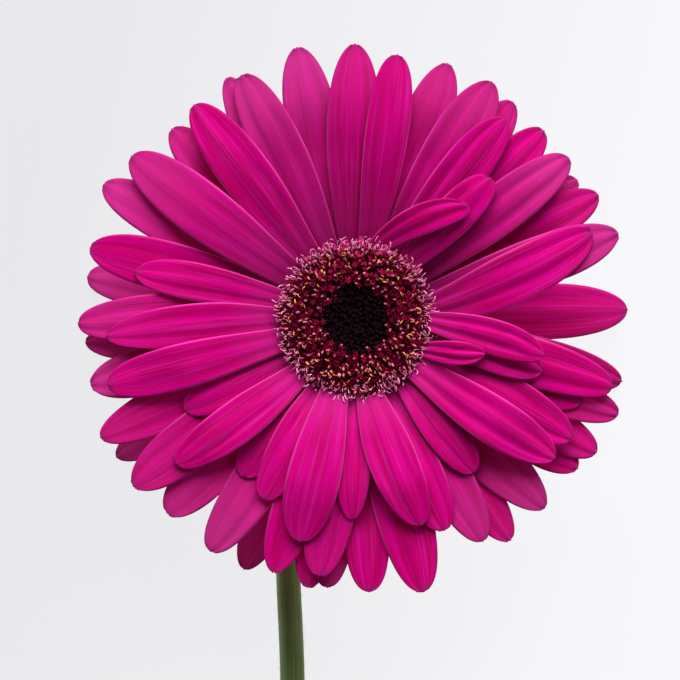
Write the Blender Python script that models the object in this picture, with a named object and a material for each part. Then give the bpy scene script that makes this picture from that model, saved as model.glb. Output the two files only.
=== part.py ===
"""A cut gerbera lying on its back: the head faces up, the stem lies along -Y on the surface.

The head's parts are worked out about the head's own centre, in metres, with the surface at z = 0.
At the end everything hangs from one empty, which puts the origin at the bottom centre of the box.
"""

import math

import bmesh
import bpy
import numpy as np
from mathutils import Vector

MM = 0.001

# Stem: its centre line, by hand, from the cut end to the receptacle.
STEM_ROUTE_MM = [
    (-1.0, -454.0, 3.3),
    (-3.5, -400.0, 3.25),
    (-7.0, -330.0, 3.15),
    (-10.5, -250.0, 3.0),
    (-12.6, -170.0, 2.9),
    (-12.9, -110.0, 2.8),
    (-12.6, -76.0, 2.7),
    (-13.4, -54.0, 2.65),
    (-14.0, -38.0, 2.75),
    (-12.4, -24.0, 3.2),
    (-8.0, -13.0, 4.2),
    (-3.2, -5.6, 6.4),
    (-0.6, -1.2, 9.6),
    (0.0, 0.0, 13.0),
]
STEM_STATIONS = 56
STEM_SIDES = 10
STEM_TOP_RADIUS = 2.45 * MM
STEM_CUT_RADIUS = 3.1 * MM
STEM_CUT_SLANT = 0.9
STEM_TAPER_BEND = 0.8
ROUTE_SAMPLES = 24

# Receptacle and what sits on it, as radius and height in millimetres.
CUP_PROFILE_MM = [(3.4, 13.4), (6.6, 13.9), (10.0, 15.8), (12.0, 18.6), (12.7, 22.0), (12.7, 25.6)]
DISC_SIDES = 36
BUD_PROFILE_MM = [(6.5, 26.0), (6.7, 28.8), (5.6, 30.0), (3.6, 30.6)]
FLORET_RING_MM = [
    (7.1, 26.0),
    (11.9, 26.0),
    (12.1, 30.6),
    (11.4, 32.2),
    (9.6, 32.5),
    (7.4, 31.2),
]
TRANS_RING_MM = [(12.4, 26.0), (13.15, 26.0), (13.15, 31.6), (12.9, 32.4), (12.5, 32.3)]

# Bracts: two cups of pointed lobes outside the receptacle.
BRACT_THICKNESS = 0.55 * MM
INNER_BRACTS_MM = [(7.2, 13.35), (10.6, 15.2), (12.6, 17.9), (13.4, 20.8)]
OUTER_BRACTS_MM = [(5.6, 12.3), (9.6, 13.3), (12.9, 15.4), (14.8, 17.9)]
BRACT_LOBES = 20
BRACT_NOTCH = 2.2 * MM
BRACT_PINCH = 0.25

# Ray florets: where they leave the receptacle, and how they are piled.
RAY_BASE_RADIUS = 13.5 * MM
RAY_THICKNESS = 0.4 * MM
RAY_GAP = 0.34 * MM
RAY_STATIONS = 9
RAY_CROWDING = 1.35
WIDEST_AT = 0.62
BASE_SHARE = 0.26
BASE_SWELL = 1.15
TIP_SHARE = 0.13
TIP_POWER = 2.4
TIP_BLUNTNESS = 0.75
SWERVE = 0.8
MOST_ROLL_DEG = 7.0
CROWN = (0.05, 0.12)
SHAPE_SEED = 7
CELL = 0.5 * MM
PILE_REACH = 64 * MM
SMOOTHING_PASSES = 40

# Each row of ray florets: height where it leaves the cup, slope there and at the tip in degrees,
# and how late along its length it bends (1 is evenly). The resting row reaches down to the surface.
ROWS = {
    "resting": {"base_mm": 22.0, "rise": 4.0, "tip_slope": -38.0, "bend": 0.6, "tip_mm": 0.9},
    "back": {"base_mm": 23.6, "rise": 28.0, "tip_slope": -10.0, "bend": 1.0},
    "outer": {"base_mm": 24.6, "rise": 30.0, "tip_slope": -9.0, "bend": 1.0},
    "middle": {"base_mm": 25.6, "rise": 31.0, "tip_slope": -9.0, "bend": 1.0},
    "inner": {"base_mm": 26.6, "rise": 32.0, "tip_slope": -9.0, "bend": 1.0},
    "top": {"base_mm": 27.6, "rise": 28.0, "tip_slope": 6.0, "bend": 1.2},
}

# Each ray floret, piled in this order: row, direction of its tip and of its base in degrees
# (from +X towards +Y), how far out its tip is and how wide it is in millimetres.
RAYS = [
    ("resting", 2, 3, 55.4, 10.2),
    ("resting", 347, 347, 55.7, 9.0),
    ("resting", 171, 170, 55.0, 8.8),
    ("resting", 210, 210, 56.0, 8.4),
    ("resting", 246, 247, 55.6, 8.4),
    ("back", 45, 44, 53.0, 8.8),
    ("back", 70, 70, 54.0, 9.2),
    ("back", 102, 103, 55.2, 9.6),
    ("back", 152, 152, 56.7, 9.0),
    ("back", 226, 226, 53.8, 9.0),
    ("back", 238, 240, 54.4, 9.2),
    ("back", 273, 273, 54.4, 8.4),
    ("back", 284, 284, 55.9, 10.2),
    ("back", 315, 314, 53.2, 9.6),
    ("back", 340, 339, 55.6, 8.6),
    ("outer", 18, 16, 54.9, 9.0),
    ("outer", 37, 37, 53.1, 8.8),
    ("outer", 60, 61, 54.4, 9.8),
    ("outer", 90, 91, 54.6, 9.8),
    ("outer", 81, 79, 53.1, 7.8),
    ("outer", 115, 113, 53.4, 9.2),
    ("outer", 127, 127, 53.2, 9.2),
    ("outer", 144, 146, 54.9, 10.0),
    ("outer", 165, 163, 54.5, 9.0),
    ("outer", 181, 177, 55.0, 8.8),
    ("outer", 205, 205, 55.8, 9.2),
    ("outer", 217, 216, 55.2, 9.4),
    ("outer", 252, 254, 53.0, 8.4),
    ("outer", 300, 301, 51.0, 8.6),
    ("middle", 53, 56, 49.7, 8.4),
    ("middle", 208, 210, 38.4, 7.4),
    ("middle", 234, 235, 38.6, 8.0),
    ("middle", 262, 264, 51.6, 9.0),
    ("middle", 293, 292, 45.6, 8.4),
    ("middle", 340, 343, 48.0, 8.2),
    ("middle", 345, 349, 52.8, 8.8),
    ("inner", 46, 47, 38.9, 7.2),
    ("inner", 20, 6, 49.8, 9.4),
    ("inner", 168, 165, 44.6, 6.8),
    ("inner", 184, 180, 49.4, 7.9),
    ("inner", 195, 196, 50.8, 8.1),
    ("inner", 243, 244, 40.2, 7.7),
    ("inner", 219, 225, 45.8, 7.8),
    ("inner", 269, 269, 39.9, 6.4),
    ("inner", 256, 254, 45.6, 9.6),
    ("inner", 288, 280, 43.0, 8.8),
    ("inner", 308, 309, 38.6, 7.0),
    ("inner", 331, 334, 49.0, 8.6),
    ("inner", 325, 321, 48.3, 8.6),
    ("inner", 344, 352, 38.4, 7.4),
    ("top", 349, 359, 37.9, 6.4),
    ("top", 345, 334, 26.6, 4.2),
    ("top", 44, 78, 31.6, 5.6),
]


def clear_scene():
    for thing in list(bpy.data.objects):
        bpy.data.objects.remove(thing, do_unlink=True)


def paint(name, colour, roughness):
    material = bpy.data.materials.new(name)
    material.use_nodes = True
    shader = material.node_tree.nodes["Principled BSDF"]
    shader.inputs["Base Color"].default_value = (*colour, 1.0)
    shader.inputs["Roughness"].default_value = roughness
    return material


def add_object(name, vertices, faces, material, closed=True):
    """A mesh as a named object. A closed one gets its faces turned outwards."""
    mesh = bpy.data.meshes.new(name)
    mesh.from_pydata([tuple(v) for v in vertices], [], faces)
    if closed:
        shell = bmesh.new()
        shell.from_mesh(mesh)
        bmesh.ops.recalc_face_normals(shell, faces=shell.faces)
        shell.to_mesh(mesh)
        shell.free()
    mesh.shade_smooth()
    mesh.materials.append(material)
    thing = bpy.data.objects.new(name, mesh)
    bpy.context.collection.objects.link(thing)
    return thing


def smooth_curve(points, count):
    """Points evenly spaced along a Catmull-Rom curve through the given ones."""
    ends = [2 * points[0] - points[1], *points, 2 * points[-1] - points[-2]]
    fine = []
    for before, start, end, after in zip(ends, ends[1:], ends[2:], ends[3:]):
        for t in np.linspace(0, 1, ROUTE_SAMPLES, endpoint=False):
            fine.append(
                0.5
                * (
                    2 * start
                    + (end - before) * t
                    + (2 * before - 5 * start + 4 * end - after) * t**2
                    + (3 * start - before - 3 * end + after) * t**3
                )
            )
    fine = np.array([*fine, points[-1]])
    along = np.concatenate([[0], np.cumsum(np.linalg.norm(np.diff(fine, axis=0), axis=1))])
    wanted = np.linspace(0, along[-1], count)
    return np.stack([np.interp(wanted, along, fine[:, k]) for k in range(3)], axis=1)


def build_stem(material):
    """A tapering round stem swept along its route, with both ends capped."""
    route = smooth_curve([np.array(p) * MM for p in STEM_ROUTE_MM], STEM_STATIONS)
    vertices, faces = [], []
    side = Vector((1, 0, 0))
    for i, centre in enumerate(route):
        ahead = Vector(route[min(i + 1, STEM_STATIONS - 1)] - route[max(i - 1, 0)]).normalized()
        if i == STEM_STATIONS - 1:
            ahead = Vector((0, 0, 1))
        side = (side - side.dot(ahead) * ahead).normalized()
        up = side.cross(ahead)
        share = (i / (STEM_STATIONS - 1)) ** STEM_TAPER_BEND
        radius = STEM_CUT_RADIUS + (STEM_TOP_RADIUS - STEM_CUT_RADIUS) * share
        for k in range(STEM_SIDES):
            turn = 2 * math.pi * (k + 0.5) / STEM_SIDES
            point = Vector(centre) + radius * (math.cos(turn) * side + math.sin(turn) * up)
            if i == 0:
                point += ahead * (STEM_CUT_SLANT * radius * math.sin(turn))
            vertices.append(point)
    for i in range(STEM_STATIONS - 1):
        for k in range(STEM_SIDES):
            a = i * STEM_SIDES + k
            b = i * STEM_SIDES + (k + 1) % STEM_SIDES
            faces.append((a, b, b + STEM_SIDES, a + STEM_SIDES))
    faces.append(tuple(range(STEM_SIDES)))
    faces.append(tuple(range(len(vertices) - STEM_SIDES, len(vertices))))
    return add_object("stem", vertices, faces, material)


def turned(name, profile_mm, material, closed_loop):
    """A profile of radius and height turned about the head's axis, solid or as a ring."""
    vertices, faces = [], []
    for radius, height in profile_mm:
        for k in range(DISC_SIDES):
            turn = 2 * math.pi * k / DISC_SIDES
            vertices.append(
                (radius * MM * math.cos(turn), radius * MM * math.sin(turn), height * MM)
            )
    rings = len(profile_mm)
    for i in range(rings if closed_loop else rings - 1):
        for k in range(DISC_SIDES):
            a = i * DISC_SIDES + k
            b = i * DISC_SIDES + (k + 1) % DISC_SIDES
            c = (i + 1) % rings * DISC_SIDES + (k + 1) % DISC_SIDES
            d = (i + 1) % rings * DISC_SIDES + k
            faces.append((a, b, c, d))
    if not closed_loop:
        faces.append(tuple(range(DISC_SIDES)))
        faces.append(tuple(range((rings - 1) * DISC_SIDES, rings * DISC_SIDES)))
    return add_object(name, vertices, faces, material)


def build_bracts(name, profile_mm, turn_by, material):
    """A cup-shaped sheet whose rim is cut into pointed lobes, given its thickness."""
    columns = BRACT_LOBES * 2
    vertices, faces = [], []
    for i, (radius, height) in enumerate(profile_mm):
        share = i / (len(profile_mm) - 1)
        for k in range(columns):
            turn = 2 * math.pi * (k + turn_by) / columns
            drop = BRACT_NOTCH * share**2 if k % 2 else 0.0
            lean = 1 - BRACT_PINCH * drop / (radius * MM)
            vertices.append(
                (
                    radius * MM * lean * math.cos(turn),
                    radius * MM * lean * math.sin(turn),
                    height * MM - drop,
                )
            )
    for i in range(len(profile_mm) - 1):
        for k in range(columns):
            a = i * columns + k
            b = i * columns + (k + 1) % columns
            faces.append((a, b, b + columns, a + columns))
    thing = add_object(name, vertices, faces, material, closed=False)
    wall = thing.modifiers.new("wall", "SOLIDIFY")
    wall.thickness = BRACT_THICKNESS
    wall.offset = 1.0
    wall.use_even_offset = True
    return thing


def ray_width_share(s):
    """Width of a ray floret along its length, as a share of its widest."""
    if s < WIDEST_AT:
        swell = math.sin(0.5 * math.pi * s / WIDEST_AT) ** BASE_SWELL
        return BASE_SHARE + (1 - BASE_SHARE) * swell
    beyond = (s - WIDEST_AT) / (1 - WIDEST_AT)
    return TIP_SHARE + (1 - TIP_SHARE) * (1 - beyond**TIP_POWER) ** TIP_BLUNTNESS


def station_share(i):
    """Stations crowd a little towards the tip, where the outline turns fastest."""
    t = i / (RAY_STATIONS - 1)
    return 1 - (1 - t) ** RAY_CROWDING


def ray_sheet(row, tip_turn, base_turn, tip_mm, width_mm, rng):
    """The middle surface of one ray floret: stations along it, each left, middle and right."""
    style = ROWS[row]
    reach = tip_mm * MM - RAY_BASE_RADIUS
    roll = math.tan(math.radians(rng.uniform(-MOST_ROLL_DEG, MOST_ROLL_DEG)))
    crown = rng.uniform(*CROWN)
    shares = [station_share(i) for i in range(RAY_STATIONS)]
    height = style["base_mm"] * MM
    centres, last = [], 0.0
    for s in shares:
        middle = 0.5 * (s + last)
        slope = style["rise"] + (style["tip_slope"] - style["rise"]) * middle ** style["bend"]
        height += math.tan(math.radians(slope)) * (s - last) * reach
        turn = math.radians(base_turn + (tip_turn - base_turn) * s**SWERVE)
        radius = RAY_BASE_RADIUS + reach * s
        centres.append(np.array([radius * math.cos(turn), radius * math.sin(turn), height]))
        last = s
    centres = np.array(centres)
    if "tip_mm" in style:
        base, tip = centres[0, 2], centres[-1, 2]
        centres[:, 2] = base + (centres[:, 2] - base) * (style["tip_mm"] * MM - base) / (tip - base)
    sheet = np.zeros((RAY_STATIONS, 3, 3))
    for i, s in enumerate(shares):
        ahead = centres[min(i + 1, RAY_STATIONS - 1)] - centres[max(i - 1, 0)]
        side = np.array([-ahead[1], ahead[0], 0.0]) / math.hypot(ahead[0], ahead[1])
        half = 0.5 * width_mm * MM * ray_width_share(s)
        for k, across in enumerate((1, 0, -1)):
            drop = crown * half * 2 * abs(across) - roll * half * across * s
            sheet[i, k] = centres[i] + side * half * across - np.array([0, 0, drop])
    return sheet


class Pile:
    """The highest point laid so far over each small cell of the surface round the head."""

    def __init__(self):
        self.cells = int(2 * PILE_REACH / CELL)
        self.top = np.full((self.cells, self.cells), -1.0)

    def spread(self, sheet):
        """Points all over a sheet, with how far along its stations each one lies."""
        along = np.linspace(0, RAY_STATIONS - 1, 12 * (RAY_STATIONS - 1) + 1)
        across = np.linspace(0, 2, 25)
        u, v = np.meshgrid(along, across, indexing="ij")
        i = np.minimum(u.astype(int), RAY_STATIONS - 2)
        k = np.minimum(v.astype(int), 1)
        fu = (u - i)[..., None]
        fv = (v - k)[..., None]
        near = sheet[i, k] * (1 - fv) + sheet[i, k + 1] * fv
        far = sheet[i + 1, k] * (1 - fv) + sheet[i + 1, k + 1] * fv
        return near * (1 - fu) + far * fu, u

    def cell(self, points):
        column = ((points[..., :2] + PILE_REACH) / CELL).astype(int)
        return column[..., 0], column[..., 1]

    def lift_for(self, sheet, clearance):
        """How far each station must rise for the sheet to clear what lies under it."""
        points, along = self.spread(sheet)
        x, y = self.cell(points)
        around = [self.top[x + dx, y + dy] for dx in (-1, 0, 1) for dy in (-1, 0, 1)]
        needed = np.max(around, axis=0) + clearance - points[..., 2]
        lift = np.zeros(RAY_STATIONS)
        for i in range(RAY_STATIONS):
            lift[i] = max(0.0, needed[np.abs(along - i) <= 1.0].max())
        for _ in range(SMOOTHING_PASSES):
            ends = np.concatenate([[2 * lift[0] - lift[1]], lift, [lift[-1]]])
            lift = np.maximum(lift, 0.5 * (ends[:-2] + ends[2:]))
        return lift

    def add(self, sheet):
        points, _ = self.spread(sheet)
        x, y = self.cell(points)
        np.maximum.at(self.top, (x, y), points[..., 2])


def build_rays(material):
    """Every ray floret, each lifted until it clears the ones it lies on."""
    pile = Pile()
    rng = np.random.default_rng(SHAPE_SEED)
    counts = {row: 0 for row in ROWS}
    rays = []
    for row, tip_turn, base_turn, tip_mm, width_mm in RAYS:
        sheet = ray_sheet(row, tip_turn, base_turn, tip_mm, width_mm, rng)
        lift = pile.lift_for(sheet, RAY_THICKNESS + RAY_GAP)
        sheet[:, :, 2] += lift[:, None]
        pile.add(sheet)
        counts[row] += 1
        vertices = sheet.reshape(-1, 3)
        faces = []
        for i in range(RAY_STATIONS - 1):
            for k in range(2):
                a = 3 * i + k
                faces.append((a, a + 1, a + 4, a + 3))
        ray = add_object(f"ray_{row}_{counts[row]:02d}", vertices, faces, material, closed=False)
        wall = ray.modifiers.new("wall", "SOLIDIFY")
        wall.thickness = RAY_THICKNESS
        wall.offset = 0.0
        rays.append(ray)
    return rays


def hang_from_frame(things):
    """Put the origin at the bottom centre of the whole flower's box."""
    low, high = np.full(3, np.inf), np.full(3, -np.inf)
    shown = bpy.context.evaluated_depsgraph_get()
    for thing in things:
        mesh = thing.evaluated_get(shown).to_mesh()
        corners = np.array([v.co for v in mesh.vertices])
        low = np.minimum(low, corners.min(axis=0))
        high = np.maximum(high, corners.max(axis=0))
    frame = bpy.data.objects.new("frame", None)
    bpy.context.collection.objects.link(frame)
    frame.location = (-0.5 * (low[0] + high[0]), -0.5 * (low[1] + high[1]), -low[2])
    for thing in things:
        thing.parent = frame


def main():
    clear_scene()
    magenta = paint("ray magenta", (0.62, 0.0, 0.24), 0.55)
    maroon = paint("disc maroon", (0.14, 0.005, 0.03), 0.7)
    black = paint("bud black", (0.01, 0.003, 0.006), 0.6)
    pink = paint("trans pink", (0.55, 0.12, 0.25), 0.7)
    green = paint("stem green", (0.09, 0.12, 0.04), 0.6)
    leaf = paint("bract green", (0.12, 0.2, 0.05), 0.6)
    things = [
        build_stem(green),
        turned("receptacle", CUP_PROFILE_MM, leaf, False),
        build_bracts("inner_bracts", INNER_BRACTS_MM, 0.0, leaf),
        build_bracts("outer_bracts", OUTER_BRACTS_MM, 1.0, leaf),
        turned("disc_bud", BUD_PROFILE_MM, black, False),
        turned("disc_florets", FLORET_RING_MM, maroon, True),
        turned("trans_florets", TRANS_RING_MM, pink, True),
        *build_rays(magenta),
    ]
    hang_from_frame(things)


main()
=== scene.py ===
"""The looks of a cut gerbera lying face up on a pale surface.

Ray florets take their place, width and curve from their solids in the frame, apart from a few
that are tucked under the others. Geometry Nodes give the rays their grooves and grow the disc's
florets, the bracts and the stem's hairs.
"""

import math

import bmesh
import bpy
import numpy as np
from mathutils import Matrix, Vector
from mathutils.bvhtree import BVHTree


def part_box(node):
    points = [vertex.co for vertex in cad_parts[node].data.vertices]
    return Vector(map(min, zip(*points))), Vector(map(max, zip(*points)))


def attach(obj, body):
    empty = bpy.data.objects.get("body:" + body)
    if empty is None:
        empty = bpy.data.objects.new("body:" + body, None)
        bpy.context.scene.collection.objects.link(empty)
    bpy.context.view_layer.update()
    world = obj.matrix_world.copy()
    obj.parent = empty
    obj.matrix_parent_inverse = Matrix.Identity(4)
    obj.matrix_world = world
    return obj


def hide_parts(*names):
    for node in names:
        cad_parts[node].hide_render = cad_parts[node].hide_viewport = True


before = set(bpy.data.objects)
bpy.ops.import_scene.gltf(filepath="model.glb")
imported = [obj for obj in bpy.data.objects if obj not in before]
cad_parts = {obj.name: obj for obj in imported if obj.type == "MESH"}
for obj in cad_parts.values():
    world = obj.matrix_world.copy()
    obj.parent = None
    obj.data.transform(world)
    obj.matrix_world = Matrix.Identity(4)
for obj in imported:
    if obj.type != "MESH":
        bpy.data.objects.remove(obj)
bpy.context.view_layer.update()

MM = 0.001
BODY = "root"
GOLDEN_ANGLE = math.pi * (3 - math.sqrt(5))


def middle_of(node):
    """The middle of a CAD node's box."""
    low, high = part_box(node)
    return 0.5 * (Vector(low) + Vector(high))


# Where the flower head's upright axis meets the surface.
HEAD = middle_of("disc_bud")
HEAD.z = 0.0

# ------------ node helpers


class Nodes:
    """Adds nodes to one tree. A value given for a socket may be another node's output."""

    def __init__(self, tree):
        self.tree = tree

    def add(self, kind, inputs=None, **settings):
        node = self.tree.nodes.new(kind)
        for key, value in settings.items():
            setattr(node, key, value)
        for key, value in (inputs or {}).items():
            if isinstance(value, bpy.types.NodeSocket):
                self.tree.links.new(value, node.inputs[key])
            else:
                node.inputs[key].default_value = value
        return node

    def math(self, operation, *values, clamp=False):
        node = self.add("ShaderNodeMath", dict(enumerate(values)), operation=operation)
        node.use_clamp = clamp
        return node.outputs[0]

    def vector(self, operation, *values):
        node = self.add("ShaderNodeVectorMath", dict(enumerate(values)), operation=operation)
        return node.outputs["Value" if operation in ("LENGTH", "DOT_PRODUCT") else "Vector"]

    def xyz(self, x=0.0, y=0.0, z=0.0):
        return self.add("ShaderNodeCombineXYZ", {0: x, 1: y, 2: z}).outputs[0]

    def ramp(self, value, low, high, start=0.0, end=1.0):
        """A value between low and high becomes start to end, held at both ends."""
        node = self.add("ShaderNodeMapRange", {0: value, 1: low, 2: high, 3: start, 4: end})
        return node.outputs[0]

    def curve(self, value, points):
        """A value from 0 to 1 read off a smooth curve through the given points."""
        node = self.add("ShaderNodeFloatCurve", {"Value": value})
        line = node.mapping.curves[0]
        line.points[0].location = points[0]
        line.points[1].location = points[-1]
        for point in points[1:-1]:
            line.points.new(*point)
        node.mapping.update()
        return node.outputs[0]

    def blend(self, share, first, second):
        values = {0: share, 6: first, 7: second}
        return self.add("ShaderNodeMix", values, data_type="RGBA").outputs[2]

    def scale(self, vector, factor):
        values = {0: vector, "Scale": factor}
        return self.add("ShaderNodeVectorMath", values, operation="SCALE").outputs[0]

    def bump(self, height, strength, distance):
        values = {"Height": height, "Strength": strength, "Distance": distance}
        return self.add("ShaderNodeBump", values).outputs[0]

    def random(self, kind, low, high, seed):
        """A random value for each element, between two constants."""
        node = self.add("FunctionNodeRandomValue", data_type=kind)
        limits = [socket for socket in node.inputs if socket.enabled]
        limits[0].default_value = low
        limits[1].default_value = high
        self.tree.links.new(seed, node.inputs["Seed"])
        return next(socket for socket in node.outputs if socket.enabled)


def geometry_tree(name, **inputs):
    """An empty geometry tree with inputs of each kind, its helper, and its in and out nodes."""
    tree = bpy.data.node_groups.new(name, "GeometryNodeTree")
    inputs = {"Geometry": ["Geometry"], "Material": ["Material"], **inputs}
    for kind, labels in inputs.items():
        for label in labels:
            tree.interface.new_socket(label, in_out="INPUT", socket_type="NodeSocket" + kind)
    tree.interface.new_socket("Geometry", in_out="OUTPUT", socket_type="NodeSocketGeometry")
    nodes = Nodes(tree)
    given = nodes.add("NodeGroupInput").outputs
    result = nodes.add("NodeGroupOutput")
    return tree, nodes, given, result


def finish_tree(nodes, geometry, material, result):
    """Turn copies into plain mesh, paint it and hand it out of the tree."""
    real = nodes.add("GeometryNodeRealizeInstances", {0: geometry}).outputs[0]
    painted = nodes.add("GeometryNodeSetMaterial", {"Geometry": real, "Material": material})
    nodes.tree.links.new(painted.outputs[0], result.inputs[0])


def finish_copies(nodes, given, result, settings, tone=None):
    """Set copies of the given shape on points, each with its tone if any, and finish the tree."""
    shape = nodes.add("GeometryNodeObjectInfo", {"Object": given["Shape"]}).outputs["Geometry"]
    copies = nodes.add("GeometryNodeInstanceOnPoints", {"Instance": shape, **settings}).outputs[0]
    if tone is not None:
        copies = nodes.add(
            "GeometryNodeStoreNamedAttribute",
            {"Geometry": copies, "Name": "tone", "Value": tone},
            data_type="FLOAT",
            domain="INSTANCE",
        ).outputs[0]
    finish_tree(nodes, copies, given["Material"], result)


def add_object(name, data):
    """A new object in the scene for a mesh, a lamp or a camera."""
    thing = bpy.data.objects.new(name, data)
    bpy.context.collection.objects.link(thing)
    return thing


def grow(name, start, tree, **values):
    """Run a geometry tree on a mesh and keep what it makes as a plain object."""
    thing = add_object(name, start)
    modifier = thing.modifiers.new("grow", "NODES")
    modifier.node_group = tree
    for item in tree.interface.items_tree:
        if item.in_out == "INPUT" and item.name in values:
            modifier[item.identifier] = values[item.name]
    return settle(thing)


def settle(thing):
    """Replace an object's mesh with its evaluated one and drop its modifiers."""
    shown = bpy.context.evaluated_depsgraph_get()
    mesh = bpy.data.meshes.new_from_object(thing.evaluated_get(shown))
    mesh.name = thing.name
    thing.modifiers.clear()
    thing.data = mesh
    mesh.shade_smooth()
    return thing


def place(piece, finish, *nodes):
    """Ride on the one body and stand for CAD nodes if any; the finish is not used."""
    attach(piece, BODY)
    if nodes:
        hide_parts(*nodes)


def lay_uv(mesh, flat):
    """Give a mesh its UV map, from one pair for each vertex."""
    uv = mesh.uv_layers.new(name="UVMap")
    corner = np.zeros(len(mesh.loops), dtype=int)
    mesh.loops.foreach_get("vertex_index", corner)
    uv.data.foreach_set("uv", flat[corner].ravel())


def seed_mesh(name):
    """A single point for trees that make all their own geometry."""
    mesh = bpy.data.meshes.new(name)
    mesh.from_pydata([(0, 0, 0)], [], [])
    return mesh


# ------------ materials


def new_material(name):
    """An empty material and the helper for its nodes."""
    material = bpy.data.materials.new(name)
    material.use_nodes = True
    tree = material.node_tree
    tree.nodes.clear()
    return material, Nodes(tree)


def streak_group():
    """Fine lengthwise streaks on a piece with (along, across) as its UV map."""
    tree = bpy.data.node_groups.new("lengthwise streaks", "ShaderNodeTree")
    for label, default in (("Count", 20.0), ("Stretch", 1.5), ("Shift", 0.0)):
        made = tree.interface.new_socket(label, in_out="INPUT", socket_type="NodeSocketFloat")
        made.default_value = default
    tree.interface.new_socket("Streak", in_out="OUTPUT", socket_type="NodeSocketFloat")
    nodes = Nodes(tree)
    given = nodes.add("NodeGroupInput").outputs
    result = nodes.add("NodeGroupOutput")
    uv = nodes.add("ShaderNodeUVMap", uv_map="UVMap").outputs[0]
    apart = nodes.add("ShaderNodeSeparateXYZ", {0: uv}).outputs
    across = nodes.math("MULTIPLY", apart[1], given["Count"])
    along = nodes.math("MULTIPLY", apart[0], given["Stretch"])
    where = nodes.xyz(across, along, given["Shift"])
    noise = nodes.add("ShaderNodeTexNoise", {"Vector": where, "Scale": 1.0, "Detail": 2.0})
    tree.links.new(noise.outputs[0], result.inputs[0])
    return tree


STREAKS = streak_group()


def streaks(nodes, **values):
    """A value that changes quickly across a piece and slowly along it."""
    return nodes.add("ShaderNodeGroup", values, node_tree=STREAKS).outputs[0]


def ray_material():
    """Velvety magenta with paler streaks, painted highlights on its rims, painted sheen on its ends,
    painted shade towards its foot, and duskier tips and margins; light passes through it.
    """
    material, nodes = new_material("ray magenta")
    uv = nodes.add("ShaderNodeUVMap", uv_map="UVMap").outputs[0]
    apart = nodes.add("ShaderNodeSeparateXYZ", {0: uv}).outputs
    along, across = apart[0], apart[1]
    tone = nodes.add("ShaderNodeAttribute", attribute_name="tone").outputs["Fac"]
    shift = nodes.math("MULTIPLY", tone, 37.0)
    fine = streaks(nodes, Count=26.0, Stretch=1.6, Shift=shift)
    broad = streaks(nodes, Count=7.0, Stretch=2.2, Shift=shift)
    off_centre = nodes.math("ABSOLUTE", nodes.math("MULTIPLY_ADD", across, 2.0, -1.0))
    deep = (0.62, 0.0, 0.165, 1.0)
    bright = (0.76, 0.0, 0.28, 1.0)
    pale = (0.80, 0.05, 0.44, 1.0)
    rim_highlight = (0.86, 0.13, 0.52, 1.0)
    painted_sheen = (0.62, 0.055, 0.32, 1.0)
    dusky = (0.36, 0.02, 0.17, 1.0)
    black = (0.0, 0.0, 0.0, 1.0)
    colour = nodes.blend(nodes.ramp(broad, 0.35, 0.65), deep, bright)
    streak = nodes.ramp(fine, 0.52, 0.72, 0.0, 0.35)
    colour = nodes.blend(streak, colour, pale)
    colour = nodes.blend(nodes.ramp(tone, 0.55, 1.0, 0.0, 0.2), colour, pale)
    foot = nodes.ramp(along, 0.02, 0.35, 0.34, 0.0)
    colour = nodes.blend(foot, colour, pale)
    # A duller end, stronger on petals of high tone: painted sheen on the ends.
    end = nodes.math("MULTIPLY", nodes.ramp(along, 0.55, 0.9), nodes.ramp(tone, 0.4, 1.0, 0.0, 0.55))
    colour = nodes.blend(end, colour, painted_sheen)
    # Darker towards the foot, near the disc: painted shade in the cup of the rays.
    painted_foot_shade = nodes.ramp(along, 0.05, 0.9, 0.2, 0.03)
    colour = nodes.blend(painted_foot_shade, colour, black)
    margin = nodes.math("MULTIPLY", nodes.ramp(off_centre, 0.86, 1.0), nodes.ramp(along, 0.6, 0.85))
    brink = nodes.math("MAXIMUM", nodes.ramp(along, 0.95, 1.0), margin)
    colour = nodes.blend(nodes.math("MULTIPLY", brink, 0.6), colour, dusky)
    # Paler rims along the sides of the inner part: a painted highlight where the thin margins catch
    # the light.
    side = nodes.ramp(off_centre, 0.92, 1.0, 0.0, 0.55)
    edge = nodes.math("MULTIPLY", side, nodes.ramp(along, 0.6, 0.8, 1.0, 0.0))
    colour = nodes.blend(edge, colour, rim_highlight)
    relief = nodes.math("MULTIPLY_ADD", fine, 0.6, broad)
    bump = nodes.bump(relief, 0.5, 0.12 * MM)
    skin = nodes.add(
        "ShaderNodeBsdfPrincipled",
        {
            "Base Color": colour,
            "Roughness": 0.55,
            "Sheen Weight": 0.12,
            "Sheen Roughness": 0.4,
            "Sheen Tint": (1.0, 0.08, 0.5, 1.0),
            "Specular IOR Level": 0.08,
            "Specular Tint": (1.0, 0.3, 0.75, 1.0),
            "Normal": bump,
        },
    )
    glow = nodes.add("ShaderNodeBsdfTranslucent", {"Color": colour, "Normal": bump})
    mixed = nodes.add("ShaderNodeMixShader", {0: 0.3, 1: skin.outputs[0], 2: glow.outputs[0]})
    nodes.add("ShaderNodeOutputMaterial", {"Surface": mixed.outputs[0]})
    return material


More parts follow.
